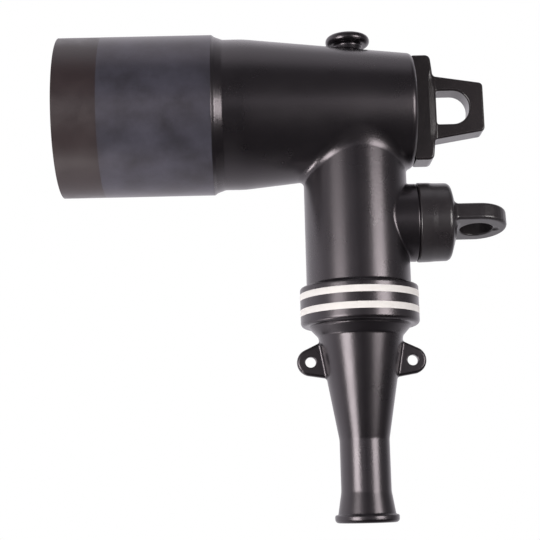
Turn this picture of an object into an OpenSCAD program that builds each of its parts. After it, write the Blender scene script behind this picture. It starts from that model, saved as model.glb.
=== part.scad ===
// Separable elbow connector: a rubber cable elbow with a capped test point and a pulling eye.
// The frame has its origin at the centre of the cuff's mouth, on the axis of the bushing socket.
// The barrel runs along +X to the pulling eye and the cable leg hangs down along -Z.

/* [Cuff] */
// Outer diameter of the cuff
cuff_d = 88; // [84:0.5:96]
// Length of the cuff from its mouth to the shoulder
cuff_len = 83.3; // [76:0.1:92]
// Length of bare insulation at the mouth
bare_len = 23.4; // [18:0.1:32]
// Fall in radius from the cuff to the barrel
shoulder_drop = 2.7; // [1:0.1:4]
// Length of the shoulder
shoulder_len = 7.8; // [5:0.1:12]

/* [Barrel] */
// Distance from the mouth to the axis of the cable leg
leg_x = 160.2; // [155:0.2:172]
// Distance from the leg's axis to the closed end
end_reach = 33.9; // [32:0.1:40]
// Diameter of the barrel at its closed end
barrel_end_d = 63.3; // [60:0.1:67]
// Length of the nearly straight run behind the shoulder
barrel_run = 9; // [6:0.5:18]
// Rounding of the closed end's edge
barrel_round = 2.5; // [1:0.1:4]
// Thickness of the conductive jacket
jacket_t = 3.6; // [2.8:0.1:4.4]
// Thickness of the jacket at the closed end
end_wall = 12; // [10:0.5:14]

/* [Bushing socket] */
// Diameter of the straight socket at the mouth
socket_d = 73; // [68:0.5:76]
// Depth of the straight socket
socket_depth = 22; // [16:0.5:26]
// Wide diameter of the inner cone
cone_mouth_d = 57; // [52:0.5:60]
// Narrow diameter of the inner cone
cone_end_d = 48; // [44:0.5:50]
// Distance from the mouth to the conductive insert
insert_start = 100; // [95:0.5:106]
// Width of the lock groove in the insert
groove_w = 5; // [3:0.5:7]
// Depth of the lock groove
groove_depth = 1.8; // [1:0.1:2.5]
// Thickness of the insert's wall
insert_t = 4; // [3:0.1:5]

/* [Cable leg] */
// Diameter of the leg at the barrel
leg_top_d = 56; // [52:0.2:60]
// Diameter of the leg at the collar
leg_low_d = 56.4; // [53:0.2:60]
// Drop from the barrel's axis to the collar
collar_drop = 95.9; // [92:0.1:110]
// Diameter of the collar
collar_d = 63.8; // [61.5:0.1:69]
// Length of the collar
collar_len = 23.4; // [21.6:0.1:29]
// Rounding of the collar's lower edge
collar_round = 3.6; // [2:0.1:4.5]
// Diameter of the funnel under the collar
neck_d = 45.6; // [42:0.2:49]
// Length of the undercut from the collar to the funnel
neck_len = 5.5; // [4:0.1:8]
// Length of the funnel
funnel_len = 54.8; // [50:0.2:65]
// Diameter of the tube that grips the cable
grip_d = 26.5; // [25:0.1:29]
// Length of the grip tube
grip_len = 27.1; // [21:0.1:38]
// Diameter of the flare at the cable entrance
flare_d = 30.3; // [28.5:0.1:33]
// Length of the flare
flare_len = 11; // [8:0.5:15]
// Diameter of the rim bead
rim_d = 33.8; // [32.8:0.1:37]
// Height of the rim bead
rim_h = 5.1; // [4:0.1:7]
// Diameter of the cable bore in the jacket
cable_bore_d = 20.8; // [19.6:0.1:22]
// Diameter of the cable bore in the insulation
cable_seat_d = 19.8; // [19:0.1:20.8]
// Length of the insulation inside the funnel
tail_len = 44; // [37:0.5:48]

/* [White bands] */
// Width of a band
band_w = 3.8; // [3:0.1:5]
// Distance from the collar's top to the first band
band_inset = 5.6; // [4:0.1:7]
// Distance from one band to the next
band_pitch = 8.6; // [7:0.1:9.5]
// Depth of a band's groove
band_t = 1.2; // [0.8:0.1:2]

/* [Drain wire eyes] */
// Distance between the two holes
ear_span = 54.6; // [52:0.2:61]
// Drop from the collar's lower edge to the holes
ear_drop = 18.9; // [16:0.1:24]
// Diameter of a hole
ear_hole_d = 5.7; // [4:0.1:7]
// Radius of an eye's round end
ear_r = 7.3; // [6:0.1:9]
// Height of an eye's root above its hole
ear_rise = 12.7; // [11:0.1:14]
// Depth of an eye's root below its hole
ear_fall = 9; // [8:0.1:11]
// Thickness of an eye
ear_t = 5; // [4:0.1:7]

/* [Top knob] */
// Diameter of the knob's head
knob_d = 24.4; // [22:0.2:28]
// Thickness of the knob's head
knob_t = 5.2; // [4:0.1:6]
// Diameter of the knob's neck
knob_neck_d = 15.2; // [12:0.2:17]
// Height of the neck above the barrel
knob_neck_h = 3.4; // [2:0.1:5]
// Distance from the leg's axis back to the knob's axis
knob_set_back = 1.4; // [0:0.1:3]

/* [Pulling eye] */
// Height of the base where it enters the rubber
eye_base_h = 59.6; // [54:0.2:60.4]
// Width of the base
eye_base_w = 17.5; // [16.5:0.5:19]
// Distance from the rubber to the base's sharp edge
eye_base_t = 8; // [6:0.1:9]
// Height of the crown in the middle of the base
eye_crown = 3.7; // [2:0.1:5]
// Depth of the base's pocket in the rubber
eye_pocket = 2.5; // [1.5:0.1:3]
// Rounding of the base's two ends, towards the ring
eye_end_round = 3; // [1:0.1:5]
// Reach of the ring beyond the crown
eye_ring_len = 26.2; // [24:0.2:32]
// Height of the ring at its root
eye_root_h = 35.8; // [33:0.2:40]
// Height of the ring at its tip
eye_tip_h = 27.2; // [24:0.2:31]
// Thickness of the ring
eye_ring_t = 14; // [12:0.5:16]
// Height of the hole
eye_hole_h = 19; // [16:0.2:20]
// Length of the hole
eye_hole_len = 18.2; // [17:0.1:20]
// Rounding of the ring's corners
eye_corner = 2.5; // [1:0.1:4]

/* [Test point] */
// Drop from the barrel's axis to the test point
test_drop = 63.1; // [60:0.1:68]
// Diameter of the boss
boss_d = 42.6; // [40:0.2:46]
// Distance from the leg's axis to the boss's face
boss_reach = 32.5; // [31:0.1:39]
// Diameter of the insulating plug
plug_d = 26; // [22:0.5:30]
// Reach of the plug beyond the boss
plug_reach = 9; // [7:0.2:12]
// Diameter of the electrode
electrode_d = 11; // [8:0.5:13]
// Reach of the electrode beyond the plug
electrode_reach = 1; // [0.5:0.1:2]
// Diameter of the cap
cap_d = 42.8; // [41:0.2:46]
// Length of the cap's round skirt
cap_len = 16.8; // [15:0.2:20]
// Length of the cap's tapered end
cap_end_len = 4; // [3:0.2:6]
// Width of the bead round the cap's edge
cap_bead_w = 8; // [5:0.5:10]
// Height of that bead
cap_bead_h = 0.3; // [0.2:0.1:0.8]
// Clearance between the plug and the cap
cap_gap = 0.3; // [0.25:0.01:0.5]
// Distance from the boss to the centre of the tab's hole
tab_hole_x = 32.5; // [31:0.1:38]
// Diameter of the tab's hole
tab_hole_d = 17.7; // [15:0.1:19]
// Width of the tab
tab_w = 33; // [30:0.2:37]
// Thickness of the tab
tab_t = 9.4; // [7:0.2:11]
// Turn of the cap about its own axis, in degrees
cap_turn = -9.5; // [-45:0.5:45]

/* [Probe and lug] */
// Diameter of the probe
probe_d = 11.1; // [9.5:0.1:12]
// Distance from the mouth to the probe's tip
probe_inset = 30; // [26:0.5:40]
// Length of the arc follower
follower_len = 45; // [38:0.5:52]
// Diameter of the spigot that joins the follower
spigot_d = 6; // [4:0.1:7]
// Length of that spigot
spigot_len = 9; // [6:0.5:12]
// Diameter of the probe's screwed end
stud_d = 8.3; // [7:0.1:9]
// Diameter of the wrench hole across the probe
wrench_hole_d = 4; // [3:0.1:5]
// Width of the lug's palm
palm_w = 14.4; // [13.5:0.1:15]
// Thickness of the lug's palm
palm_t = 11; // [9:0.1:11.5]
// Drop from the probe's axis to the lug's barrel
palm_drop = 18; // [15:0.5:22]
// Diameter of the lug's barrel
lug_d = 18; // [17:0.1:18.4]
// Length of the lug's barrel
lug_len = 70; // [60:0.5:72]
// Diameter of the conductor's hole
conductor_d = 9.8; // [8:0.1:13]
// Depth of the conductor's hole
conductor_depth = 56; // [40:0.5:58]
// Clearance round the lug
lug_gap = 0.3; // [0.2:0.01:0.5]

/* [Hidden] */
$fn = 96;
eps = 0.01;
over = 1;
arc_steps = 6;
thread_gap = 0.05;
rim_lead = 30;

cuff_r = cuff_d / 2;
barrel_len = leg_x + end_reach;
barrel_r = cuff_r - shoulder_drop;
barrel_end_r = barrel_end_d / 2;
run_start = cuff_len + shoulder_len;
run_end = run_start + barrel_run;
inner_end = barrel_len - end_wall;
barrel_slope = atan2(barrel_r - barrel_end_r, barrel_len - run_end);

collar_low = collar_drop + collar_len;
collar_bevel = (collar_d - leg_low_d) / 2;
neck_drop = collar_low + neck_len;
grip_top = neck_drop + funnel_len;
flare_top = grip_top + grip_len;
rim_mid = flare_top + flare_len + rim_h / 2;
leg_end = rim_mid + rim_h / 2;
tail_end = neck_drop + tail_len;
entry_len = flare_len - 3;

socket_lead = 3;
cone_end_r = cone_end_d / 2;
chamber_end = leg_x - 24;
chamber_r = cone_end_r - 2;
lug_space_r = lug_d / 2 + lug_gap;
lug_space_end = leg_x + palm_t / 2 + 5;
insert_end = lug_space_end + insert_t;
insert_front_r = cone_end_r + insert_t;
insert_low = palm_drop + lug_len + 4;
insert_leg_r = lug_space_r + insert_t;

boss_face = leg_x + boss_reach;
plug_r = plug_d / 2;
plug_end = boss_reach + plug_reach;
electrode_end = plug_end + electrode_reach;
electrode_start = insert_leg_r + 7;
electrode_disc_t = 3;
electrode_disc_r = electrode_d / 2 + 3;

eye_seat = barrel_len - eye_pocket;
eye_edge = barrel_len + eye_base_t;
eye_face = eye_edge + eye_crown;
anchor_len = end_wall - eye_pocket - 3;
anchor_r = eye_base_w / 4;
anchor_head_r = anchor_r + 3;
anchor_head_t = 3;

// Radius of the barrel at a distance x from the mouth, on its straight taper
function barrel_r_at(x) = barrel_r + (barrel_end_r - barrel_r) * (x - run_end) / (barrel_len - run_end);

// Radius of the funnel at a drop z, on its straight taper
function funnel_r_at(z) = neck_d / 2 + (grip_d - neck_d) / 2 * (z - neck_drop) / funnel_len;

// Points on an arc, from angle a0 to a1
function arc(c, r, a0, a1, n = arc_steps) =
    [for (i = [0:n]) let (a = a0 + (a1 - a0) * i / n) [c[0] + r * cos(a), c[1] + r * sin(a)]];

// Points down the shoulder, steep at the cuff and level at the barrel
function shoulder(x, r, n = arc_steps) =
    [for (i = [0:n]) [x + shoulder_len * i / n, r - shoulder_drop * sin(90 * i / n)]];

// Point where a line from p touches a circle
function touch(p, c, r, side) =
    let (d = norm(p - c), a = atan2(p[1] - c[1], p[0] - c[0]) + side * acos(r / d))
    [c[0] + r * cos(a), c[1] + r * sin(a)];

// Solid turned about the barrel's axis, from pairs of distance and radius
module turned_x(profile)
    rotate([0, 90, 0])
        rotate_extrude()
            polygon([for (p = profile) [p[1], p[0]]]);

// Solid turned about the leg's axis, from pairs of drop and radius
module turned_leg(profile)
    translate([leg_x, 0, 0])
        rotate_extrude()
            polygon([for (p = profile) [p[1], -p[0]]]);

// Solid turned about the test point's axis, with distances measured from the leg's axis
module turned_test(profile)
    translate([leg_x, 0, -test_drop])
        turned_x(profile);

// Cuff and barrel from their front end to the closed end, less a wall of thickness t
module barrel_form(front, end, t, round_r)
    turned_x(concat(
        [[front, 0], [front, cuff_r - t]],
        shoulder(cuff_len, cuff_r - t),
        [[run_end, barrel_r - t]],
        arc([end - round_r, barrel_r_at(end) - t - round_r], round_r, 90 - barrel_slope, 0),
        [[end, 0]]));

module leg_form()
    turned_leg(concat(
        [[0, 0], [0, leg_top_d / 2], [collar_drop, leg_low_d / 2],
         [collar_drop + collar_bevel * 0.7, collar_d / 2]],
        arc([collar_low - collar_round, collar_d / 2 - collar_round], collar_round, 90, 0),
        [[neck_drop, neck_d / 2], [grip_top, grip_d / 2], [flare_top, grip_d / 2],
         [flare_top + flare_len, flare_d / 2]],
        arc([rim_mid, (rim_d - rim_h) / 2], rim_h / 2, 90 + rim_lead, 0),
        [[leg_end, 0]]));

module knob() {
    seat = barrel_r_at(leg_x);
    head_mid = seat + knob_neck_h + knob_t / 2;
    translate([-knob_set_back, 0, 0])
        turned_leg(concat(
            [[-seat / 2, 0], [-seat / 2, knob_neck_d / 2], [-head_mid, knob_neck_d / 2]],
            [for (p = arc([0, (knob_d - knob_t) / 2], knob_t / 2, 0, 180)) [p[0] - head_mid, p[1]]],
            [[-head_mid - knob_t / 2, 0]]));
}

module drain_eyes() {
    eye_z = collar_low + ear_drop;
    root_x = funnel_r_at(eye_z) - 3;
    for (side = [-1, 1])
        translate([leg_x, ear_t / 2, -eye_z])
            rotate([90, 0, 0])
                linear_extrude(ear_t)
                    scale([side, 1])
                        difference() {
                            c = [ear_span / 2, 0];
                            union() {
                                translate(c) circle(ear_r);
                                polygon([[0, ear_rise], [root_x, ear_rise],
                                         touch([root_x, ear_rise], c, ear_r, -1), c,
                                         touch([root_x, -ear_fall], c, ear_r, 1),
                                         [root_x, -ear_fall], [0, -ear_fall]]);
                            }
                            translate(c) circle(ear_hole_d / 2);
                        }
}

// Outer volume of the insulation, with the bare band at the mouth and the test point's plug
module insulation_form() {
    turned_x([[0, 0], [0, cuff_r], [bare_len, cuff_r], [bare_len, 0]]);
    barrel_form(0, inner_end, jacket_t, barrel_round);
    turned_leg([[0, 0], [0, leg_top_d / 2 - jacket_t], [collar_low, leg_low_d / 2 - jacket_t],
                [neck_drop, neck_d / 2 - jacket_t], [tail_end, funnel_r_at(tail_end) - jacket_t],
                [tail_end, 0]]);
    turned_test([[0, 0], [0, plug_r], [plug_end - over, plug_r], [plug_end, plug_r - over],
                 [plug_end, 0]]);
}

// Space inside the bushing socket, down to the lug
module socket_space()
    turned_x([[-over, 0], [-over, socket_d / 2], [socket_depth, socket_d / 2],
              [socket_depth + socket_lead, cone_mouth_d / 2], [insert_start, cone_end_r],
              [insert_start + groove_w, cone_end_r], [insert_start + groove_w, cone_end_r + groove_depth],
              [insert_start + 2 * groove_w, cone_end_r + groove_depth],
              [insert_start + 2 * groove_w, chamber_r], [chamber_end, chamber_r],
              [chamber_end + insert_t, lug_space_r], [lug_space_end, lug_space_r], [lug_space_end, 0]]);

// Outer volume of the conductive insert
module insert_form() {
    turned_x(concat(
        [[insert_start, 0], [insert_start, insert_front_r], [chamber_end, chamber_r + insert_t],
         [chamber_end + 2 * insert_t, insert_leg_r]],
        arc([insert_end - insert_t, insert_leg_r - insert_t], insert_t, 90, 0),
        [[insert_end, 0]]));
    turned_leg([[0, 0], [0, insert_leg_r], [insert_low, insert_leg_r], [insert_low, 0]]);
}

module electrode_form()
    turned_test([[electrode_start, 0], [electrode_start, electrode_disc_r],
                 [electrode_start + electrode_disc_t, electrode_disc_r],
                 [electrode_start + electrode_disc_t, electrode_d / 2], [electrode_end, electrode_d / 2],
                 [electrode_end, 0]]);

module anchor_form()
    turned_x([[eye_seat - anchor_len, 0], [eye_seat - anchor_len, anchor_head_r],
              [eye_seat - anchor_len + anchor_head_t, anchor_head_r],
              [eye_seat - anchor_len + anchor_head_t, anchor_r], [eye_seat + eps, anchor_r],
              [eye_seat + eps, 0]]);

// Base of the pulling eye: a bar with rounded ends and a crown that falls away on all sides
module eye_base() {
    top_h = eye_base_h / 2;
    side_h = top_h - eye_end_round;
    side_x = eye_edge + eye_crown / 3;
    crown_rise = eye_face - side_x;
    crown_r = (side_h * side_h + crown_rise * crown_rise) / (2 * crown_rise);
    crown_a = asin(side_h / crown_r);
    intersection() {
        rotate([90, 0, 0])
            linear_extrude(eye_base_w, center = true)
                polygon(concat(
                    [[eye_seat, -top_h], [eye_seat, top_h]],
                    arc([side_x - eye_end_round, side_h], eye_end_round, 90, 0),
                    arc([eye_face - crown_r, 0], crown_r, crown_a, -crown_a, 2 * arc_steps),
                    arc([side_x - eye_end_round, -side_h], eye_end_round, 0, -90)));
        linear_extrude(eye_base_h, center = true)
            polygon([[eye_seat, -eye_base_w / 2], [eye_edge, -eye_base_w / 2], [eye_face, -eye_ring_t / 2],
                     [eye_face, eye_ring_t / 2], [eye_edge, eye_base_w / 2], [eye_seat, eye_base_w / 2]]);
    }
}

module eye_ring() {
    tip = eye_face + eye_ring_len;
    slope = atan2((eye_root_h - eye_tip_h) / 2, eye_ring_len);
    corner = [tip - eye_corner, eye_tip_h / 2 - eye_corner];
    hole_r = eye_hole_h / 2;
    upper = concat([[eye_edge, eye_root_h / 2]], arc(corner, eye_corner, 90 - slope, 0));
    rotate([90, 0, 0])
        linear_extrude(eye_ring_t, center = true)
            difference() {
                polygon(concat(upper, [for (i = [len(upper) - 1:-1:0]) [upper[i][0], -upper[i][1]]]));
                translate([eye_face + eye_hole_len - hole_r, 0]) circle(hole_r);
                translate([eye_face, -hole_r]) square([eye_hole_len - hole_r, eye_hole_h]);
            }
}

module white_band(index) {
    top = collar_drop + band_inset + index * band_pitch;
    turned_leg([[top, collar_d / 2 - band_t], [top, collar_d / 2], [top + band_w, collar_d / 2],
                [top + band_w, collar_d / 2 - band_t]]);
}

module shield_jacket()
    color([0.10, 0.10, 0.11])
        difference() {
            union() {
                barrel_form(bare_len, barrel_len, 0, barrel_round);
                leg_form();
                turned_test([[0, 0], [0, boss_d / 2], [boss_reach, boss_d / 2], [boss_reach, 0]]);
                knob();
                drain_eyes();
            }
            insulation_form();
            turned_leg([[tail_end - over, 0], [tail_end - over, cable_bore_d / 2],
                        [leg_end - entry_len, cable_bore_d / 2], [leg_end + eps, flare_d / 2 - over],
                        [leg_end + eps, 0]]);
            for (i = [0, 1]) white_band(i);
            eye_base();
            anchor_form();
        }

module insulation_body()
    color([0.26, 0.23, 0.21])
        difference() {
            insulation_form();
            socket_space();
            insert_form();
            electrode_form();
            turned_leg([[insert_low - over, 0], [insert_low - over, cable_seat_d / 2],
                        [tail_end + over, cable_seat_d / 2], [tail_end + over, 0]]);
        }

module conductive_insert()
    color([0.07, 0.07, 0.07])
        difference() {
            insert_form();
            socket_space();
            turned_leg([[0, 0], [0, lug_space_r], [insert_low + over, lug_space_r],
                        [insert_low + over, 0]]);
        }

module pulling_eye()
    color([0.16, 0.15, 0.15])
        union() {
            eye_base();
            eye_ring();
            anchor_form();
        }

module test_point_cap() {
    skirt_end = boss_reach + cap_len;
    cap_end = skirt_end + cap_end_len;
    cavity_end = electrode_end + cap_gap;
    bead_end = boss_reach + cap_bead_w;
    tip_x = boss_reach + tab_hole_x;
    color([0.20, 0.19, 0.19])
        difference() {
            union() {
                turned_test(concat(
                    [[boss_reach, 0], [boss_reach, cap_d / 2],
                     [boss_reach + cap_bead_h, cap_d / 2 + cap_bead_h],
                     [bead_end, cap_d / 2 + cap_bead_h], [bead_end + cap_bead_h, cap_d / 2]],
                    arc([skirt_end - cap_end_len, cap_d / 2 - cap_end_len], cap_end_len, 90, 30),
                    [[cap_end, tab_w / 3], [cap_end, 0]]));
                translate([leg_x, 0, -test_drop])
                    rotate([cap_turn, 0, 0])
                        linear_extrude(tab_t, center = true) {
                            translate([tip_x, 0]) circle(tab_w / 2);
                            translate([cavity_end + over, -tab_w / 2])
                                square([tip_x - cavity_end - over, tab_w]);
                        }
            }
            turned_test([[boss_reach - over, 0], [boss_reach - over, plug_r + cap_gap],
                         [cavity_end, plug_r + cap_gap], [cavity_end, 0]]);
            translate([leg_x + tip_x, 0, -test_drop])
                rotate([cap_turn, 0, 0])
                    cylinder(d = tab_hole_d, h = 2 * tab_t, center = true);
        }
}

module test_point_electrode()
    color([0.72, 0.58, 0.32])
        electrode_form();

module white_band_upper()
    color([0.95, 0.94, 0.91])
        white_band(0);

module white_band_lower()
    color([0.95, 0.94, 0.91])
        white_band(1);

module contact_probe() {
    shoulder_x = leg_x - palm_t / 2;
    rod_end = probe_inset + follower_len;
    color([0.74, 0.73, 0.71])
        difference() {
            turned_x([[rod_end - spigot_len, 0], [rod_end - spigot_len, spigot_d / 2],
                      [rod_end, spigot_d / 2], [rod_end, probe_d / 2], [shoulder_x, probe_d / 2],
                      [shoulder_x, stud_d / 2],
                      [leg_x + palm_t / 2 + over, stud_d / 2], [leg_x + palm_t / 2 + over, 0]]);
            translate([shoulder_x - probe_d, 0, 0])
                rotate([90, 0, 0])
                    cylinder(d = wrench_hole_d, h = 2 * probe_d, center = true);
        }
}

module arc_follower() {
    rod_end = probe_inset + follower_len;
    tip_round = probe_d / 4;
    color([0.86, 0.84, 0.78])
        turned_x(concat(
            [[rod_end, spigot_d / 2 + thread_gap], [rod_end, probe_d / 2]],
            arc([probe_inset + tip_round, probe_d / 2 - tip_round], tip_round, 90, 180),
            [[probe_inset, 0], [rod_end - spigot_len - thread_gap, 0],
             [rod_end - spigot_len - thread_gap, spigot_d / 2 + thread_gap]]));
}

module lug_palm()
    color([0.72, 0.45, 0.30])
        translate([leg_x - palm_t / 2, 0, 0])
            rotate([90, 0, 90])
                linear_extrude(palm_t)
                    difference() {
                        union() {
                            circle(palm_w / 2);
                            translate([-palm_w / 2, -palm_drop]) square([palm_w, palm_drop]);
                        }
                        circle(stud_d / 2 + thread_gap);
                    }

module lug_barrel()
    color([0.80, 0.80, 0.82])
        turned_leg([[palm_drop, 0], [palm_drop, lug_d / 2], [palm_drop + lug_len, lug_d / 2],
                    [palm_drop + lug_len, conductor_d / 2],
                    [palm_drop + lug_len - conductor_depth, conductor_d / 2],
                    [palm_drop + lug_len - conductor_depth, 0]]);

shield_jacket();
insulation_body();
conductive_insert();
pulling_eye();
test_point_cap();
test_point_electrode();
white_band_upper();
white_band_lower();
contact_probe();
arc_follower();
lug_palm();
lug_barrel();
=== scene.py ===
import math

import bmesh
import bpy
import numpy as np
from mathutils import Matrix, Vector


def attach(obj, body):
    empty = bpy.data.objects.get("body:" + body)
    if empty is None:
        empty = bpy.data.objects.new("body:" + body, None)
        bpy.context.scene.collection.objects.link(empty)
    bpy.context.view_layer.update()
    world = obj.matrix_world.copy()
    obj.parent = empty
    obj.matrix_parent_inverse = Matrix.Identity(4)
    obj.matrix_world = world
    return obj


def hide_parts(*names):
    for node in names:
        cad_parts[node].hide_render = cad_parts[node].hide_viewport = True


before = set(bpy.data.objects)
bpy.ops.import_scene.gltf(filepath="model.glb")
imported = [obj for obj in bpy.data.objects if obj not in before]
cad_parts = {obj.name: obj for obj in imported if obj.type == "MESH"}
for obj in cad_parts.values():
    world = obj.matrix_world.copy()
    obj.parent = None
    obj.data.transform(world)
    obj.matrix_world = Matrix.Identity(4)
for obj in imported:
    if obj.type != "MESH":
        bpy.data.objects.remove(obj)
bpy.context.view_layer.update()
print("frame loaded:", len(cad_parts), "nodes")

mm = 0.001
legX = 160.2            # distance from the cuff's mouth to the leg's axis
testDrop = 63.1         # drop from the barrel's axis to the test point's axis
below = -20             # outlines are carried past their axis, so that the axis is no edge
straightHalf = 1.56     # half angle, in radians, from which a corner counts as straight
edgeShare = 0.499       # an arc takes up less than half of each edge beside it


# Outlines: each corner is (along, across, radius), and a radius turns the corner into an arc
def roundedOutline(corners, stepAngle=10):
    ring = []
    for i, (along, across, radius) in enumerate(corners):
        here = np.array((along, across), float)
        before = np.array(corners[i - 1][:2], float) - here
        after = np.array(corners[(i + 1) % len(corners)][:2], float) - here
        beforeLen, afterLen = np.linalg.norm(before), np.linalg.norm(after)
        u, v = before / beforeLen, after / afterLen
        half = math.acos(np.clip(u @ v, -1, 1)) / 2
        if radius <= 0 or half > straightHalf:
            ring.append(here)
            continue
        reach = min(radius / math.tan(half), edgeShare * beforeLen, edgeShare * afterLen)
        turn = reach * math.tan(half)
        centre = here + (u + v) / np.linalg.norm(u + v) * turn / math.sin(half)
        first, last = here + u * reach - centre, here + v * reach - centre
        start = math.atan2(first[1], first[0])
        sweep = (math.atan2(last[1], last[0]) - start + math.pi) % (2 * math.pi) - math.pi
        count = max(2, int(abs(sweep) / math.radians(stepAngle)) + 1)
        angles = start + sweep * np.arange(count + 1) / count
        ring += list(centre + turn * np.stack((np.cos(angles), np.sin(angles)), 1))
    return np.array(ring)


# Signed distance to an outline, kept in a fine table and read between its points
def outlineField(corners, step=0.25, margin=8):
    ring = roundedOutline(corners)
    lo, hi = ring.min(0) - margin, ring.max(0) + margin
    a, b = np.arange(lo[0], hi[0], step), np.arange(lo[1], hi[1], step)
    along, across = np.meshgrid(a, b, indexing="ij")
    nearest = np.full(along.shape, 1e9)
    inside = np.zeros(along.shape, bool)
    for p, q in zip(ring, np.roll(ring, -1, 0)):
        edge = q - p
        du, dv = along - p[0], across - p[1]
        t = np.clip((du * edge[0] + dv * edge[1]) / max(edge @ edge, 1e-12), 0, 1)
        nearest = np.minimum(nearest, (du - t * edge[0]) ** 2 + (dv - t * edge[1]) ** 2)
        if edge[1] != 0:
            crosses = (p[1] > across) != (q[1] > across)
            inside ^= crosses & (along < p[0] + (across - p[1]) * edge[0] / edge[1])
    table = (np.where(inside, -1, 1) * np.sqrt(nearest)).astype(np.float32)

    def field(u, v):
        fu = np.clip((u - lo[0]) / step, 0, len(a) - 1.001)
        fv = np.clip((v - lo[1]) / step, 0, len(b) - 1.001)
        iu, iv = fu.astype(np.int32), fv.astype(np.int32)
        fu, fv = (fu - iu).astype(np.float32), (fv - iv).astype(np.float32)
        low = table[iu, iv] * (1 - fu) + table[iu + 1, iv] * fu
        high = table[iu, iv + 1] * (1 - fu) + table[iu + 1, iv + 1] * fu
        return low * (1 - fv) + high * fv
    return field


# Outline of a turned form, whose corners are (along, radius, rounding), closed past its axis
def turnedField(corners):
    return outlineField([(corners[0][0], below, 0), *corners, (corners[-1][0], below, 0)])


def roundUnion(a, b, radius):
    corner = np.hypot(np.maximum(radius - a, 0), np.maximum(radius - b, 0))
    return np.maximum(radius, np.minimum(a, b)) - corner


def roundIntersect(a, b, radius):
    corner = np.hypot(np.maximum(radius + a, 0), np.maximum(radius + b, 0))
    return np.minimum(-radius, np.maximum(a, b)) + corner


# Net of quads over the surface where shape is zero, on a grid of the given cell
def surfaceNet(shape, lo, hi, cell):
    axes = [np.arange(lo[k], hi[k] + cell, cell).astype(np.float32) for k in range(3)]
    value = shape(axes[0][:, None, None], axes[1][None, :, None], axes[2][None, None, :])
    inside = value < 0
    size = [len(axis) - 1 for axis in axes]
    corners = [(i, j, k) for i in (0, 1) for j in (0, 1) for k in (0, 1)]
    held = sum(inside[i:size[0] + i, j:size[1] + j, k:size[2] + k].astype(np.uint8) for i, j, k in corners)
    cells = np.argwhere((held > 0) & (held < 8))
    number = np.full(size, -1, np.int32)
    number[tuple(cells.T)] = np.arange(len(cells))
    total, crossings = np.zeros((len(cells), 3)), np.zeros(len(cells))
    for corner in corners:
        for k in range(3):
            if corner[k]:
                continue
            first = cells + corner
            second = first.copy()
            second[:, k] += 1
            va, vb = value[tuple(first.T)], value[tuple(second.T)]
            cut = (va < 0) != (vb < 0)
            t = np.where(cut, va / np.where(cut, va - vb, 1), 0)
            point = first.astype(float)
            point[:, k] += t
            total += point * cut[:, None]
            crossings += cut
    points = np.array(lo) + total / crossings[:, None] * cell
    faces = []
    for k in range(3):
        u, v = (k + 1) % 3, (k + 2) % 3
        lower, upper = [slice(None)] * 3, [slice(None)] * 3
        lower[k], upper[k] = slice(0, -1), slice(1, None)
        for out in (True, False):
            edges = np.argwhere((inside[tuple(lower)] == out) & (inside[tuple(upper)] != out))
            atU, atV = edges[:, u], edges[:, v]
            edges = edges[(atU > 0) & (atV > 0) & (atU < size[u]) & (atV < size[v])]
            quad = []
            for du, dv in ((1, 1), (0, 1), (0, 0), (1, 0)):
                around = edges.copy()
                around[:, u] -= du
                around[:, v] -= dv
                quad.append(number[tuple(around.T)])
            quad = np.stack(quad, 1)
            faces.append(quad if out else quad[:, ::-1])
    return points, np.concatenate(faces)


def slopes(shape, points, reach):
    result = np.empty_like(points)
    for k in range(3):
        step = np.zeros(3)
        step[k] = reach
        result[:, k] = (shape(*(points + step).T) - shape(*(points - step).T)) / (2 * reach)
    return result


# Moves points onto the surface, a limited step at a time
settling = {"probe": 0.08, "leastSlope": 0.05, "longestStep": 0.6}


def settle(shape, points, cell, rounds=4):
    for _ in range(rounds):
        slope = slopes(shape, points, settling["probe"])
        steepness = np.maximum((slope ** 2).sum(1), settling["leastSlope"])
        move = -slope * (shape(*points.T) / steepness)[:, None]
        length = np.maximum(np.linalg.norm(move, axis=1), 1e-9)
        points = points + move * np.minimum(1, settling["longestStep"] * cell / length)[:, None]
    return points


def meshArrays(mesh):
    mesh.calc_loop_triangles()
    points = np.empty(len(mesh.vertices) * 3)
    mesh.vertices.foreach_get("co", points)
    faces = np.empty(len(mesh.loop_triangles) * 3, np.int32)
    mesh.loop_triangles.foreach_get("vertices", faces)
    return points.reshape(-1, 3), faces.reshape(-1, 3)


# Smooth normals come from the field, and a face that turns away from them keeps its own
shading = {"probe": 0.15, "agreement": 0.55}


def setNormals(mesh, shape):
    points, faces = meshArrays(mesh)
    normal = slopes(shape, points / mm, shading["probe"])
    normal /= np.maximum(np.linalg.norm(normal, axis=1), 1e-9)[:, None]
    corner = points[faces]
    flat = np.cross(corner[:, 1] - corner[:, 0], corner[:, 2] - corner[:, 0])
    flat /= np.maximum(np.linalg.norm(flat, axis=1), 1e-15)[:, None]
    agree = np.einsum("fcj,fj->fc", normal[faces], flat) > shading["agreement"]
    loops = np.where(agree[:, :, None], normal[faces], flat[:, None, :])
    mesh.polygons.foreach_set("use_smooth", np.ones(len(mesh.polygons), bool))
    mesh.normals_split_custom_set(loops.reshape(-1, 3))


def thinned(mesh, faceCount):
    draft = bpy.data.objects.new("draft", mesh)
    bpy.context.scene.collection.objects.link(draft)
    thin = draft.modifiers.new("thin", "DECIMATE")
    thin.ratio = min(1, faceCount / (2 * len(mesh.polygons)))
    evaluated = draft.evaluated_get(bpy.context.evaluated_depsgraph_get())
    result = bpy.data.meshes.new_from_object(evaluated)
    bpy.data.objects.remove(draft)
    return result


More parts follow.
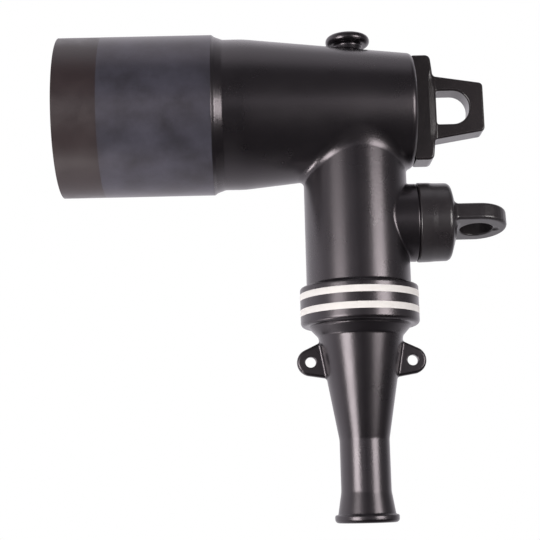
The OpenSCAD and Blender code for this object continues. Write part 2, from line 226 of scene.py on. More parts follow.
# A piece from its field: netted, thinned, settled again, cut where it has a front and given its normals
def fieldPiece(name, shape, sizes):
    cell = sizes["cell"]
    points, quads = surfaceNet(shape, sizes["lo"], sizes["hi"], cell)
    points = settle(shape, points, cell)
    mesh = bpy.data.meshes.new(name + "Draft")
    mesh.from_pydata(points * mm, [], quads)
    mesh = thinned(mesh, sizes["faces"])
    points, faces = meshArrays(mesh)
    mesh = bpy.data.meshes.new(name)
    mesh.from_pydata(settle(shape, points / mm, cell / 2, 2) * mm, [], faces)
    if "front" in sizes:
        cutFront(mesh, sizes["front"] * mm)
    setNormals(mesh, shape)
    piece = bpy.data.objects.new(name, mesh)
    bpy.context.scene.collection.objects.link(piece)
    print(name, "has", len(mesh.polygons), "faces")
    return piece


# A straight cut across the barrel's axis, closed by a flat ring between its two rims
def cutFront(mesh, x):
    work = bmesh.new()
    work.from_mesh(mesh)
    everything = work.verts[:] + work.edges[:] + work.faces[:]
    bmesh.ops.bisect_plane(work, geom=everything, plane_co=(x, 0, 0), plane_no=(-1, 0, 0), clear_outer=True)
    rims = [edge for edge in work.edges if edge.is_boundary]
    bmesh.ops.bridge_loops(work, edges=rims)
    bmesh.ops.triangulate(work, faces=work.faces[:])
    work.normal_update()
    nearCut, square = 1e-6, 0.99
    ring = [face for face in work.faces if abs(face.calc_center_median().x - x) < nearCut]
    bmesh.ops.reverse_faces(work, faces=[face for face in ring if face.normal.x > square])
    work.to_mesh(mesh)
    work.free()


# Materials
def linear(hexColour):
    channels = [int(hexColour[i:i + 2], 16) / 255 for i in (1, 3, 5)]
    return tuple(c / 12.92 if c <= 0.04045 else ((c + 0.055) / 1.055) ** 2.4 for c in channels) + (1,)


def addNode(tree, kind, settings=None, inputs=None):
    node = tree.nodes.new(kind)
    for name, value in (settings or {}).items():
        setattr(node, name, value)
    for name, value in (inputs or {}).items():
        if isinstance(value, bpy.types.NodeSocket):
            tree.links.new(value, node.inputs[name])
        else:
            node.inputs[name].default_value = value
    return node


def newMaterial(name):
    material = bpy.data.materials.new(name)
    material.use_nodes = True
    tree = material.node_tree
    tree.nodes.clear()
    shader = addNode(tree, "ShaderNodeBsdfPrincipled")
    addNode(tree, "ShaderNodeOutputMaterial", inputs={"Surface": shader.outputs["BSDF"]})
    place = addNode(tree, "ShaderNodeTexCoord").outputs["Object"]
    return material, tree, shader, place


def perMetre(millimetres):
    return 1000 / millimetres


# Noises, the limits that most of a noise lies between, and how far the gloss goes to either side
cloudNoise = {"Detail": 4.0, "Roughness": 0.6}
blotchNoise = {"Detail": 5.0, "Roughness": 0.62}
grainNoise = {"Detail": 3.0, "Roughness": 0.55}
noiseLow, noiseHigh = 0.3, 0.7
glossRange = 0.05


# A finish with cloudy colour, uneven gloss and a fine grain, each of a real size in millimetres
def mouldedFinish(name, dark, pale, roughness, cloudMm, grainMm, grainDepth, specular=0.5, metallic=0.0):
    material, tree, shader, place = newMaterial(name)
    cloud = addNode(tree, "ShaderNodeTexNoise", inputs={
        "Vector": place, "Scale": perMetre(cloudMm), **cloudNoise}).outputs["Fac"]
    colour = addNode(tree, "ShaderNodeMix", {"data_type": "RGBA"}, {
        0: cloud, 6: linear(dark), 7: linear(pale)})
    gloss = addNode(tree, "ShaderNodeMapRange", inputs={
        "Value": cloud, "From Min": noiseLow, "From Max": noiseHigh,
        "To Min": roughness - glossRange, "To Max": roughness + glossRange})
    grain = addNode(tree, "ShaderNodeTexNoise", inputs={
        "Vector": place, "Scale": perMetre(grainMm), **grainNoise})
    bump = addNode(tree, "ShaderNodeBump", inputs={
        "Height": grain.outputs["Fac"], "Strength": 1.0, "Distance": grainDepth * mm})
    tree.links.new(colour.outputs[2], shader.inputs["Base Color"])
    tree.links.new(gloss.outputs["Result"], shader.inputs["Roughness"])
    tree.links.new(bump.outputs["Normal"], shader.inputs["Normal"])
    shader.inputs["Specular IOR Level"].default_value = specular
    shader.inputs["Metallic"].default_value = metallic
    return material


# Conductive rubber, moulded: black with a soft sheen, and a matt slate-grey zone round the cuff
def jacketFinish():
    look = {"dark": "#0b090b", "pale": "#121013", "matt": "#212127", "mattPale": "#393943",
            "zoneEnd": 83.2, "zoneEdge": 0.3, "sheen": 0.29, "sheenRange": 0.04, "mattRoughness": 0.33,
            "cloud": 30.0, "blotch": 22.0, "blotchLow": 0.35, "blotchHigh": 0.68,
            "grain": 1.2, "grainDepth": 0.035, "specular": 0.95, "specularTint": (1.0, 0.92, 0.97, 1)}
    material, tree, shader, place = newMaterial("moulded conductive rubber")
    along = addNode(tree, "ShaderNodeSeparateXYZ", inputs={"Vector": place}).outputs["X"]
    zone = addNode(tree, "ShaderNodeMapRange", inputs={
        "Value": along, "From Min": (look["zoneEnd"] - look["zoneEdge"]) * mm,
        "From Max": (look["zoneEnd"] + look["zoneEdge"]) * mm,
        "To Min": 1.0, "To Max": 0.0}).outputs["Result"]
    cloud = addNode(tree, "ShaderNodeTexNoise", inputs={
        "Vector": place, "Scale": perMetre(look["cloud"]), **cloudNoise}).outputs["Fac"]
    blotch = addNode(tree, "ShaderNodeTexNoise", inputs={
        "Vector": place, "Scale": perMetre(look["blotch"]), **blotchNoise}).outputs["Fac"]
    spread = addNode(tree, "ShaderNodeMapRange", inputs={
        "Value": blotch, "From Min": look["blotchLow"], "From Max": look["blotchHigh"]}).outputs["Result"]
    grain = addNode(tree, "ShaderNodeTexNoise", inputs={
        "Vector": place, "Scale": perMetre(look["grain"]), **grainNoise}).outputs["Fac"]
    glossy = addNode(tree, "ShaderNodeMix", {"data_type": "RGBA"}, {
        0: cloud, 6: linear(look["dark"]), 7: linear(look["pale"])}).outputs[2]
    matt = addNode(tree, "ShaderNodeMix", {"data_type": "RGBA"}, {
        0: spread, 6: linear(look["matt"]), 7: linear(look["mattPale"])}).outputs[2]
    colour = addNode(tree, "ShaderNodeMix", {"data_type": "RGBA"}, {0: zone, 6: glossy, 7: matt}).outputs[2]
    sheen = addNode(tree, "ShaderNodeMapRange", inputs={
        "Value": cloud, "From Min": noiseLow, "From Max": noiseHigh,
        "To Min": look["sheen"] - look["sheenRange"],
        "To Max": look["sheen"] + look["sheenRange"]}).outputs["Result"]
    rough = addNode(tree, "ShaderNodeMapRange", inputs={
        "Value": zone, "To Min": sheen, "To Max": look["mattRoughness"]}).outputs["Result"]
    bump = addNode(tree, "ShaderNodeBump", inputs={
        "Height": grain, "Strength": 1.0, "Distance": look["grainDepth"] * mm}).outputs["Normal"]
    tree.links.new(colour, shader.inputs["Base Color"])
    tree.links.new(rough, shader.inputs["Roughness"])
    tree.links.new(bump, shader.inputs["Normal"])
    shader.inputs["Specular IOR Level"].default_value = look["specular"]
    shader.inputs["Specular Tint"].default_value = look["specularTint"]
    return material


# Darker and paler colour, roughness, cloud and grain in mm, the grain's depth in mm, and the specular level
finishes = {
    "conductive_rubber": jacketFinish(),
    "insulating_rubber": mouldedFinish(
        "moulded insulating rubber", "#241b1c", "#2e2223", 0.36, 9, 1.4, 0.04, 0.75),
    "insert_rubber": mouldedFinish("matt conductive rubber", "#141414", "#1d1d1d", 0.6, 12, 1.2, 0.05),
    "eye_nylon": mouldedFinish("satin moulded nylon", "#1b1718", "#231e1f", 0.24, 14, 0.9, 0.03, 0.7),
    "cap_rubber": mouldedFinish("satin moulded rubber", "#201d1f", "#2a2628", 0.31, 12, 0.9, 0.03, 0.8),
    "white_band": mouldedFinish("ivory silicone rubber", "#dbd9d4", "#e2e0dc", 0.6, 10, 1.2, 0.03),
    "electrode_brass": mouldedFinish("turned brass", "#b3924f", "#c4a45f", 0.3, 6, 0.6, 0.01, metallic=1.0),
    "tinned_copper": mouldedFinish("tinned copper", "#b4b2ac", "#c6c4be", 0.3, 8, 0.7, 0.01, metallic=1.0),
    "follower_plastic": mouldedFinish("turned ivory plastic", "#d6d0be", "#e0dbca", 0.45, 10, 0.8, 0.02),
    "lug_copper": mouldedFinish("drawn copper", "#b06a48", "#c07a56", 0.35, 8, 0.7, 0.01, metallic=1.0),
    "lug_aluminium": mouldedFinish("drawn aluminium", "#b5b6b9", "#c4c5c8", 0.38, 8, 0.7, 0.01, metallic=1.0),
}
print("finishes made:", len(finishes))


# Pulling eye: a bar with rounded ends and a low crown, moulded into the rubber, and a D-shaped ring.
# Its pocket in the jacket stops short of the bar's ends, so that no thin wall is left there
eyeSizes = {
    "lo": (183, -11, -33), "hi": (234, 11, 33), "cell": 0.45, "faces": 90000,
    "seat": 191.6, "edge": 202.1, "endFace": 203.2, "halfHeight": 29.8, "halfWidth": 8.75, "endRound": 3.0,
    "crownX": 205.8, "crownHalf": 9, "crownArc": 60, "crownSoft": 1.5, "edgeSoft": 0.8, "edgeRound": 1.2,
    "slopeShift": 1.6, "slopeFrom": 15.0, "slopeTo": 25.0, "pocketHalf": 28.3,
    "ringHalf": 7.0, "ringInto": 3, "ringRound": 1.0, "rootHalf": 17.9, "rootFlare": 1.1, "rootRound": 1.6,
    "tip": 232.0, "tipHalf": 13.6, "tipRound": 2.5,
    "holeHalf": 9.5, "holeEnd": 224.0, "holeArc": 9.4, "holeCorner": 1.5,
    "anchor": [(185.1, 7.4, 0.5), (188.1, 7.4, 0.5), (188.1, 4.4, 0), (192.1, 4.4, 0)]}
eye = eyeSizes
eyeSide = outlineField([
    (eye["seat"], -eye["halfHeight"], 0), (eye["endFace"], -eye["halfHeight"], eye["endRound"]),
    (eye["crownX"], -eye["crownHalf"], eye["crownArc"]), (eye["crownX"], eye["crownHalf"], eye["crownArc"]),
    (eye["endFace"], eye["halfHeight"], eye["endRound"]), (eye["seat"], eye["halfHeight"], 0)])
eyeCrown = outlineField([
    (eye["seat"], -eye["halfWidth"], 0), (eye["edge"], -eye["halfWidth"], eye["edgeSoft"]),
    (eye["crownX"], -eye["ringHalf"], eye["crownSoft"]), (eye["crownX"], eye["ringHalf"], eye["crownSoft"]),
    (eye["edge"], eye["halfWidth"], eye["edgeSoft"]), (eye["seat"], eye["halfWidth"], 0)])
eyeRing = outlineField([
    (eye["edge"] - eye["ringInto"], -eye["rootHalf"] - eye["rootFlare"], 0),
    (eye["tip"], -eye["tipHalf"], eye["tipRound"]), (eye["tip"], eye["tipHalf"], eye["tipRound"]),
    (eye["edge"] - eye["ringInto"], eye["rootHalf"] + eye["rootFlare"], 0)])
eyeHole = outlineField([
    (eye["crownX"], -eye["holeHalf"], eye["holeCorner"]), (eye["holeEnd"], -eye["holeHalf"], eye["holeArc"]),
    (eye["holeEnd"], eye["holeHalf"], eye["holeArc"]), (eye["crownX"], eye["holeHalf"], eye["holeCorner"])])
eyeAnchor = turnedField(eye["anchor"])


def eyeShape(x, y, z):
    t = np.clip((np.abs(z) - eye["slopeFrom"]) / (eye["slopeTo"] - eye["slopeFrom"]), 0, 1)
    shift = eye["slopeShift"] * t * t * (3 - 2 * t)
    base = roundIntersect(eyeSide(x, z), eyeCrown(x - shift, y), eye["edgeRound"])
    ring = np.maximum(eyeRing(x, z), -eyeHole(x, z))
    ring = roundIntersect(ring, np.abs(y) - eye["ringHalf"], eye["ringRound"])
    return np.minimum(roundUnion(base, ring, eye["rootRound"]), eyeAnchor(x, np.hypot(y, z)))


# Insulation: the bare band at the mouth, the wall inside the jacket and the test point's plug
insulationSizes = {
    "lo": (-6, -46, -172), "hi": (206, 46, 46), "cell": 1.1, "faces": 90000, "front": 0.0, "socketEdge": 1.0,
    "bareBand": [(-4, 43.96, 0), (25.2, 43.96, 0)],
    "barrelCore": [(5, 40.4, 0), (83.3, 40.4, 0), (91.1, 37.7, 0), (100.1, 37.7, 0), (182.1, 29.28, 2.5)],
    "legCore": [(0, 24.4, 0), (119.3, 24.6, 0), (124.8, 19.2, 0), (168.8, 11.53, 0)],
    "plug": [(0, 13.0, 0), (41.5, 13.0, 1)],
    "socket": [(-12, 36.5, 0), (22, 36.5, 1), (25, 28.5, 2), (100, 24, 0), (105, 24, 0.3), (105, 25.8, 0.3),
               (110, 25.8, 0.3), (110, 22, 0.3), (136.2, 22, 1), (140.2, 9.3, 1), (170.7, 9.3, 0)],
    "insertBarrel": [(100, 28, 0), (136.2, 26, 0), (144.2, 13.3, 0), (174.7, 13.3, 4)],
    "insertLeg": [(0, 13.3, 0), (92, 13.3, 0)],
    "cableSeat": [(91, 9.9, 0), (174, 9.9, 0)],
    "electrode": [(20.3, 8.5, 0), (23.3, 8.5, 0), (23.3, 5.5, 0), (46, 5.5, 0)]}
bareBand = turnedField(insulationSizes["bareBand"])
barrelCore = turnedField(insulationSizes["barrelCore"])
legCore = turnedField(insulationSizes["legCore"])
testPlug = turnedField(insulationSizes["plug"])
socketSpace = turnedField(insulationSizes["socket"])
insertBarrel = turnedField(insulationSizes["insertBarrel"])
insertLeg = turnedField(insulationSizes["insertLeg"])
cableSeat = turnedField(insulationSizes["cableSeat"])
electrodeRod = turnedField(insulationSizes["electrode"])


def coreShape(x, y, z):
    core = np.minimum(barrelCore(x, np.hypot(y, z)), legCore(-z, np.hypot(x - legX, y)))
    return np.minimum(core, testPlug(x - legX, np.hypot(y, z + testDrop)))


def insulationShape(x, y, z):
    fromBarrel, fromLeg = np.hypot(y, z), np.hypot(x - legX, y)
    body = np.minimum(bareBand(x, fromBarrel), coreShape(x, y, z))
    body = roundIntersect(body, -socketSpace(x, fromBarrel), insulationSizes["socketEdge"])
    space = np.minimum(insertBarrel(x, fromBarrel), insertLeg(-z, fromLeg))
    space = np.minimum(space, cableSeat(-z, fromLeg))
    space = np.minimum(space, electrodeRod(x - legX, np.hypot(y, z + testDrop)))
    return np.maximum(body, -space)


# Shield jacket: cuff, barrel, leg, boss, knob, collar, funnel, drain wire eyes and cable entrance
jacketSizes = {
    "lo": (19, -46, -225), "hi": (197, 46, 46), "cell": 0.65, "faces": 190000, "front": 23.4,
    "barrel": [(12, 44.0, 0), (83.3, 44.0, 0), (84.9, 42.83, 0.3), (89.2, 41.28, 2), (100.1, 41.3, 60),
               (193.0, 31.76, 3.2)],
    "leg": [(0, 28, 0), (97.3, 28.2, 0.4), (98.5, 31.9, 1.3), (119.3, 31.9, 3.9), (119.3, 27.2, 0.2),
            (120.2, 27, 0.3), (124.8, 22.8, 2.2), (179.6, 13.25, 8), (206.7, 13.25, 8), (218.5, 15.2, 0.6),
            (218.7, 16.9, 1.9), (222.8, 16.9, 2.0)],
    "boss": [(0, 21.3, 0), (32.5, 21.3, 0.9)],
    "knob": [(17, 7.6, 0), (38.5, 7.6, 0.9), (38.5, 12.2, 2.4), (43.7, 12.2, 2.5)],
    "cableBore": [(164, 10.4, 0), (214.8, 10.4, 2), (222.8, 14.15, 0), (236, 15.2, 0)],
    "earBlade": [(0, -9, 0), (17.4, -9, 0), (28.5, -7.2, 0), (30.4, 6.6, 0), (17.4, 12.7, 0), (0, 12.7, 0)],
    "saddle": 3.5, "bossFillet": 0.7, "knobFillet": 1.2, "knobBack": 1.4, "boreEdge": 0.6,
    "earFillet": 1.2, "earHalf": 2.5, "earEdge": 1.6, "earDrop": 138.2, "earReach": 27.3, "earRound": 7.3,
    "earHole": 2.85, "earHoleEdge": 0.5}
barrelOutside = turnedField(jacketSizes["barrel"])
legOutside = turnedField(jacketSizes["leg"])
bossOutside = turnedField(jacketSizes["boss"])
knobOutside = turnedField(jacketSizes["knob"])
cableBore = turnedField(jacketSizes["cableBore"])
earBlade = outlineField(jacketSizes["earBlade"])


def jacketShape(x, y, z):
    fromBarrel, fromLeg = np.hypot(y, z), np.hypot(x - legX, y)
    s = jacketSizes
    outside = roundUnion(barrelOutside(x, fromBarrel), legOutside(-z, fromLeg), s["saddle"])
    outside = roundUnion(outside, bossOutside(x - legX, np.hypot(y, z + testDrop)), s["bossFillet"])
    outside = roundUnion(outside, knobOutside(z, np.hypot(x - legX + s["knobBack"], y)), s["knobFillet"])
    reach, height = np.abs(x - legX), z + s["earDrop"]
    fromHole = np.hypot(reach - s["earReach"], height)
    ear = np.minimum(earBlade(reach, height), fromHole - s["earRound"])
    ear = roundIntersect(ear, np.abs(y) - s["earHalf"], s["earEdge"])
    ear = roundIntersect(ear, s["earHole"] - fromHole, s["earHoleEdge"])
    outside = roundUnion(outside, ear, s["earFillet"])
    pocket = np.maximum(np.abs(y) - eye["halfWidth"], np.abs(z) - eye["pocketHalf"])
    pocket = np.maximum(pocket, eye["seat"] - x)
    space = np.minimum(coreShape(x, y, z), np.minimum(pocket, eyeAnchor(x, fromBarrel)))
    bore = roundIntersect(-cableBore(-z, fromLeg), outside, s["boreEdge"])
    return np.maximum(bore, -space)


# Test point cap: a round skirt with a bead, and a holed tab with a dimple, turned a little on its boss
capSizes = {
    "lo": (191, -24, -88), "hi": (243, 24, -39), "cell": 0.5, "faces": 90000, "turn": -9.5,
    "skirt": [(32.62, 21.7, 0.9), (39.3, 21.6, 6), (41.9, 21.35, 6), (50.2, 21.2, 3.0), (53.3, 11, 2.5)],
    "space": [(18, 13.3, 0), (42.8, 13.3, 0)],
    "tab": [(44.5, -16.5, 0), (81.5, -16.5, 16.4), (81.5, 16.5, 16.4), (44.5, 16.5, 0)],
    "tabHalf": 4.7, "tabRound": 1.7, "root": 2.2, "holeX": 65.0, "hole": 8.85, "holeRound": 0.9,
    "dimpleX": 75.3, "dimple": 2.2, "dimpleDepth": 0.9, "dimpleEdge": 0.3}
capSkirt = turnedField(capSizes["skirt"])
capSpace = turnedField(capSizes["space"])
capTab = outlineField(capSizes["tab"])


def capShape(x, y, z):
    s = capSizes
    along, drop = x - legX, z + testDrop
    turn = math.radians(s["turn"])
    across = y * math.cos(turn) + drop * math.sin(turn)
    height = drop * math.cos(turn) - y * math.sin(turn)
    fromAxis = np.hypot(y, drop)
    tab = roundIntersect(capTab(along, across), np.abs(height) - s["tabHalf"], s["tabRound"])
    shape = roundUnion(capSkirt(along, fromAxis), tab, s["root"])
    shape = roundIntersect(shape, s["hole"] - np.hypot(along - s["holeX"], across), s["holeRound"])
    ball = (s["dimple"] ** 2 + s["dimpleDepth"] ** 2) / (2 * s["dimpleDepth"])
    ballHeight = -s["tabHalf"] - ball + s["dimpleDepth"]
    dimple = np.sqrt((along - s["dimpleX"]) ** 2 + across ** 2 + (height - ballHeight) ** 2) - ball
    shape = roundIntersect(shape, -dimple, s["dimpleEdge"])
    return np.maximum(shape, -capSpace(along, fromAxis))


# White bands: one tree sweeps a rounded section round the collar
bandSizes = {"collar": 31.9, "proud": 0.12, "width": 3.8, "thickness": 1.3, "corner": 0.35, "first": 103.4,
             "pitch": 8.6, "steps": 240, "cornerSteps": 5}


def bandTree():
    tree = bpy.data.node_groups.new("collar band", "GeometryNodeTree")
    tree.interface.new_socket("Geometry", in_out="OUTPUT", socket_type="NodeSocketGeometry")
    for name in ("Radius", "Width", "Thickness", "Corner", "Axis", "Drop"):
        tree.interface.new_socket(name, in_out="INPUT", socket_type="NodeSocketFloat")
    tree.interface.new_socket("Finish", in_out="INPUT", socket_type="NodeSocketMaterial")
    given = addNode(tree, "NodeGroupInput").outputs
    path = addNode(tree, "GeometryNodeCurvePrimitiveCircle", inputs={
        "Resolution": bandSizes["steps"], "Radius": given["Radius"]})
    section = addNode(tree, "GeometryNodeCurvePrimitiveQuadrilateral", inputs={
        "Width": given["Thickness"], "Height": given["Width"]})
    eased = addNode(tree, "GeometryNodeFilletCurve", {"mode": "POLY"}, {
        "Curve": section.outputs["Curve"], "Count": bandSizes["cornerSteps"], "Radius": given["Corner"]})
    ring = addNode(tree, "GeometryNodeCurveToMesh", inputs={
        "Curve": path.outputs["Curve"], "Profile Curve": eased.outputs["Curve"]})
    low = addNode(tree, "ShaderNodeMath", {"operation": "MULTIPLY"}, {0: given["Drop"], 1: -1.0})
    place = addNode(tree, "ShaderNodeCombineXYZ", inputs={"X": given["Axis"], "Z": low.outputs["Value"]})
    placed = addNode(tree, "GeometryNodeTransform", inputs={
        "Geometry": ring.outputs["Mesh"], "Translation": place.outputs["Vector"]})
    whole = addNode(tree, "GeometryNodeRealizeInstances", inputs={"Geometry": placed.outputs["Geometry"]})
    coloured = addNode(tree, "GeometryNodeSetMaterial", inputs={
        "Geometry": whole.outputs["Geometry"], "Material": given["Finish"]})
    addNode(tree, "NodeGroupOutput", inputs={"Geometry": coloured.outputs["Geometry"]})
    return tree


def whiteBand(name, tree, index):
    s = bandSizes
    lengths = {"Radius": s["collar"] + s["proud"] - s["thickness"] / 2, "Width": s["width"],
               "Thickness": s["thickness"], "Corner": s["corner"], "Axis": legX,
               "Drop": s["first"] + index * s["pitch"]}
    piece = bpy.data.objects.new(name, bpy.data.meshes.new(name))
    bpy.context.scene.collection.objects.link(piece)
    sweep = piece.modifiers.new("band", "NODES")
    sweep.node_group = tree
    for socket in tree.interface.items_tree:
        if socket.name in lengths:
            sweep[socket.identifier] = lengths[socket.name] * mm
        elif socket.name == "Finish":
            sweep[socket.identifier] = finishes["white_band"]
    evaluated = piece.evaluated_get(bpy.context.evaluated_depsgraph_get())
    mesh = bpy.data.meshes.new_from_object(evaluated)
    piece.modifiers.remove(sweep)
    piece.data = mesh
    work = bmesh.new()
    work.from_mesh(mesh)
    bmesh.ops.recalc_face_normals(work, faces=work.faces)
    work.to_mesh(mesh)
    work.free()
    mesh.polygons.foreach_set("use_smooth", np.ones(len(mesh.polygons), bool))
    return piece


# Pieces, each set on its body and in the place of its node
def setPiece(piece, body, node, slot):
    piece.data.materials.clear()
    piece.data.materials.append(finishes[slot])
    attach(piece, body)
    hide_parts(node)


collarTree = bandTree()
setPiece(fieldPiece("shieldJacket", jacketShape, jacketSizes), "elbow", "shield_jacket", "conductive_rubber")
setPiece(fieldPiece("insulationBody", insulationShape, insulationSizes), "elbow", "insulation_body",
         "insulating_rubber")
setPiece(fieldPiece("pullingEye", eyeShape, eyeSizes), "elbow", "pulling_eye", "eye_nylon")
setPiece(fieldPiece("testPointCap", capShape, capSizes), "cap", "test_point_cap", "cap_rubber")
setPiece(whiteBand("whiteBandUpper", collarTree, 0), "elbow", "white_band_upper", "white_band")
setPiece(whiteBand("whiteBandLower", collarTree, 1), "elbow", "white_band_lower", "white_band")
innerFinishes = {"conductive_insert": "insert_rubber", "test_point_electrode": "electrode_brass",
                 "contact_probe": "tinned_copper", "arc_follower": "follower_plastic",
                 "lug_palm": "lug_copper", "lug_barrel": "lug_aluminium"}
for node, slot in innerFinishes.items():
    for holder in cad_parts[node].material_slots:
        holder.material = finishes[slot]
print("pieces placed")


# Studio: a floor that fades to white, surroundings that are brightest behind the part, three soft boxes
# in front and a small narrow one below the cuff
studio = {
    "floorZ": -0.42, "floorSize": 4.0, "floor": "#f2f2f2", "floorRoughness": 0.9, "floorCentre": (0.12, 0.0),
    "floorWhite": 0.55, "fadeFrom": 0.3, "fadeTo": 1.6, "tint": (0.98, 0.94, 1.0, 1),
    "behind": 1.05, "leftward": (-0.4, 1.0, 0.0), "behindAt": (-0.5, 0.7),
    "underside": 0.65, "undersideAt": (-0.9, 0.0), "overhead": 0.8, "overheadAt": (0.8, 1.02),
    "frontLow": 0.05, "frontHigh": 0.23, "riseAt": (-0.75, 0.1), "frontFall": 0.03, "fallAt": (0.1, 0.75),
    "rightSide": 0.5, "rightAt": (-0.1, 0.6), "band": 0.52, "bandHeight": 0.07, "bandHalf": 0.22,
    "shade": 0.3, "shadeAt": 0.02, "shadeHalf": 0.17, "lamp": (1.0, 0.96, 0.95)}
frontBox = {"aim": (0.12, 0.0, -0.09), "distance": 1.3, "spread": 180}
boxes = {
    "left": {**frontBox, "azimuth": -43, "elevation": -11, "width": 0.6, "height": 0.7, "power": 14.0},
    "upper left": {**frontBox, "azimuth": -43, "elevation": 13, "width": 0.6, "height": 0.4, "power": 1.1},
    "right": {**frontBox, "azimuth": 45, "elevation": 2, "width": 0.58, "height": 0.6, "power": 8.4},
    "low": {"aim": (0.05, 0.0, -0.01), "distance": 0.4, "spread": 40, "azimuth": -80, "elevation": -55,
            "width": 0.2, "height": 0.2, "power": 0.1}}


def makeFloor():
    half, level = studio["floorSize"] / 2, studio["floorZ"]
    corners = [(x * half, y * half, level) for x, y in ((-1, -1), (1, -1), (1, 1), (-1, 1))]
    mesh = bpy.data.meshes.new("floor")
    mesh.from_pydata(corners, [], [(0, 1, 2, 3)])
    floor = bpy.data.objects.new("floor", mesh)
    bpy.context.scene.collection.objects.link(floor)
    material, tree, shader, place = newMaterial("pale floor paint")
    shader.inputs["Base Color"].default_value = linear(studio["floor"])
    shader.inputs["Roughness"].default_value = studio["floorRoughness"]
    away = addNode(tree, "ShaderNodeVectorMath", {"operation": "DISTANCE"}, {
        0: place, 1: (*studio["floorCentre"], level)}).outputs["Value"]
    fade = addNode(tree, "ShaderNodeMapRange", {"interpolation_type": "SMOOTHSTEP"}, {
        "Value": away, "From Min": studio["fadeFrom"], "From Max": studio["fadeTo"],
        "To Min": studio["floorWhite"]}).outputs["Result"]
    seen = addNode(tree, "ShaderNodeLightPath").outputs["Is Camera Ray"]
    amount = addNode(tree, "ShaderNodeMath", {"operation": "MULTIPLY"}, {0: fade, 1: seen}).outputs["Value"]
    white = addNode(tree, "ShaderNodeEmission", inputs={"Color": (1, 1, 1, 1), "Strength": 1.0})
    shown = addNode(tree, "ShaderNodeMixShader", inputs={
        0: amount, 1: shader.outputs["BSDF"], 2: white.outputs["Emission"]})
    tree.links.new(shown.outputs["Shader"], tree.nodes["Material Output"].inputs["Surface"])
    floor.data.materials.append(material)
    floor.visible_glossy = False


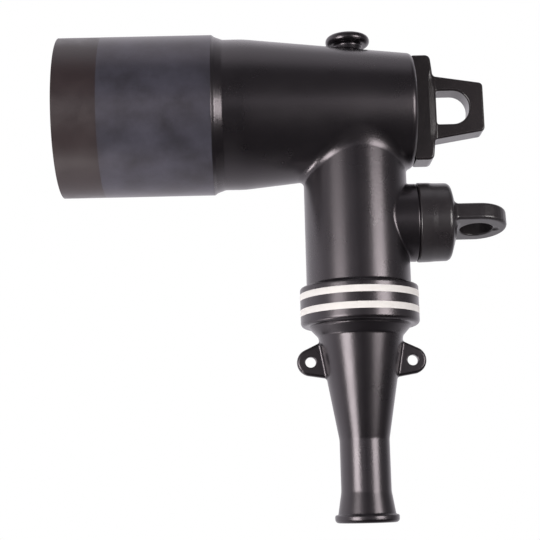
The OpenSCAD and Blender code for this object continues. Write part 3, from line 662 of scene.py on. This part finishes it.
def makeWorld():
    world = bpy.data.worlds.new("white studio")
    bpy.context.scene.world = world
    world.use_nodes = True
    tree = world.node_tree
    tree.nodes.clear()
    direction = addNode(tree, "ShaderNodeTexCoord").outputs["Generated"]
    parts = addNode(tree, "ShaderNodeSeparateXYZ", inputs={"Vector": direction}).outputs
    height = parts["Z"]
    smooth = {"interpolation_type": "SMOOTHSTEP"}
    lean = addNode(tree, "ShaderNodeVectorMath", {"operation": "DOT_PRODUCT"}, {
        0: direction, 1: studio["leftward"]}).outputs["Value"]
    turned = addNode(tree, "ShaderNodeMapRange", smooth, {
        "Value": lean, "From Min": studio["behindAt"][0], "From Max": studio["behindAt"][1],
        "To Max": studio["behind"]}).outputs["Result"]
    under = addNode(tree, "ShaderNodeMapRange", smooth, {
        "Value": height, "From Min": studio["undersideAt"][0], "From Max": studio["undersideAt"][1],
        "To Min": studio["underside"]}).outputs["Result"]
    behind = addNode(tree, "ShaderNodeMath", {"operation": "MULTIPLY"}, {
        0: turned, 1: under}).outputs["Value"]
    overhead = addNode(tree, "ShaderNodeMapRange", smooth, {
        "Value": height, "From Min": studio["overheadAt"][0], "From Max": studio["overheadAt"][1],
        "To Max": studio["overhead"]}).outputs["Result"]
    rise = addNode(tree, "ShaderNodeMapRange", smooth, {
        "Value": height, "From Min": studio["riseAt"][0], "From Max": studio["riseAt"][1],
        "To Min": studio["frontLow"], "To Max": studio["frontHigh"]}).outputs["Result"]
    fall = addNode(tree, "ShaderNodeMapRange", smooth, {
        "Value": height, "From Min": studio["fallAt"][0], "From Max": studio["fallAt"][1],
        "To Max": studio["frontFall"]}).outputs["Result"]
    side = addNode(tree, "ShaderNodeMapRange", smooth, {
        "Value": parts["X"], "From Min": studio["rightAt"][0], "From Max": studio["rightAt"][1],
        "To Min": 1.0, "To Max": studio["rightSide"]}).outputs["Result"]
    level = addNode(tree, "ShaderNodeMath", {"operation": "SUBTRACT"}, {0: rise, 1: fall}).outputs["Value"]
    offBand = addNode(tree, "ShaderNodeMath", {"operation": "SUBTRACT"}, {
        0: height, 1: studio["bandHeight"]}).outputs["Value"]
    fromBand = addNode(tree, "ShaderNodeMath", {"operation": "ABSOLUTE"}, {0: offBand}).outputs["Value"]
    band = addNode(tree, "ShaderNodeMapRange", smooth, {
        "Value": fromBand, "From Max": studio["bandHalf"], "To Min": studio["band"],
        "To Max": 0.0}).outputs["Result"]
    offShade = addNode(tree, "ShaderNodeMath", {"operation": "SUBTRACT"}, {
        0: parts["X"], 1: studio["shadeAt"]}).outputs["Value"]
    fromShade = addNode(tree, "ShaderNodeMath", {"operation": "ABSOLUTE"}, {0: offShade}).outputs["Value"]
    shade = addNode(tree, "ShaderNodeMapRange", smooth, {
        "Value": fromShade, "From Max": studio["shadeHalf"], "To Min": studio["shade"]}).outputs["Result"]
    lit = addNode(tree, "ShaderNodeMath", {"operation": "ADD"}, {0: level, 1: band}).outputs["Value"]
    faced = addNode(tree, "ShaderNodeMath", {"operation": "MULTIPLY"}, {0: lit, 1: side}).outputs["Value"]
    front = addNode(tree, "ShaderNodeMath", {"operation": "MULTIPLY"}, {0: faced, 1: shade}).outputs["Value"]
    around = addNode(tree, "ShaderNodeMath", {"operation": "MAXIMUM"}, {
        0: behind, 1: overhead}).outputs["Value"]
    strength = addNode(tree, "ShaderNodeMath", {"operation": "MAXIMUM"}, {
        0: around, 1: front}).outputs["Value"]
    seen = addNode(tree, "ShaderNodeLightPath").outputs
    plain = addNode(tree, "ShaderNodeMath", {"operation": "MAXIMUM"}, {
        0: seen["Is Camera Ray"], 1: seen["Is Transmission Ray"]}).outputs["Value"]
    light = addNode(tree, "ShaderNodeBackground", inputs={"Color": studio["tint"], "Strength": strength})
    white = addNode(tree, "ShaderNodeBackground", inputs={"Color": (1, 1, 1, 1), "Strength": 1.0})
    shown = addNode(tree, "ShaderNodeMixShader", inputs={
        0: plain, 1: light.outputs["Background"], 2: white.outputs["Background"]})
    addNode(tree, "ShaderNodeOutputWorld", inputs={"Surface": shown.outputs["Shader"]})


def makeBox(name, s):
    lamp = bpy.data.lights.new(name, "AREA")
    lamp.shape = "RECTANGLE"
    lamp.size, lamp.size_y = s["width"], s["height"]
    lamp.energy = s["power"]
    lamp.color = studio["lamp"]
    lamp.spread = math.radians(s["spread"])
    holder = bpy.data.objects.new(name, lamp)
    azimuth, elevation = math.radians(s["azimuth"]), math.radians(s["elevation"])
    away = Vector((math.sin(azimuth) * math.cos(elevation), -math.cos(azimuth) * math.cos(elevation),
                   math.sin(elevation)))
    holder.location = Vector(s["aim"]) + away * s["distance"]
    holder.rotation_euler = away.to_track_quat("Z", "Y").to_euler()
    holder.visible_camera = False
    bpy.context.scene.collection.objects.link(holder)


# Camera: level with the part's foot and looking up a little, as the photograph does
cameraSizes = {"location": (0.105191, -0.677288, -0.208163), "lens": 84.705, "sensor": 36.0,
               "right": (0.99967583, -0.00628653, -0.02467227), "up": (0.02318376, -0.17578808, 0.98415500)}


def makeCamera():
    data = bpy.data.cameras.new("camera")
    data.lens, data.sensor_width, data.sensor_fit = cameraSizes["lens"], cameraSizes["sensor"], "HORIZONTAL"
    right, up = Vector(cameraSizes["right"]), Vector(cameraSizes["up"])
    turn = Matrix((right, up, right.cross(up))).transposed().to_4x4()
    camera = bpy.data.objects.new("camera", data)
    camera.matrix_world = Matrix.Translation(cameraSizes["location"]) @ turn
    bpy.context.scene.collection.objects.link(camera)
    bpy.context.scene.camera = camera


makeFloor()
makeWorld()
for name, sizes in boxes.items():
    makeBox(name + " soft box", sizes)
makeCamera()
bpy.context.scene.view_settings.view_transform = "Standard"
print("studio ready")

bpy.context.view_layer.update()
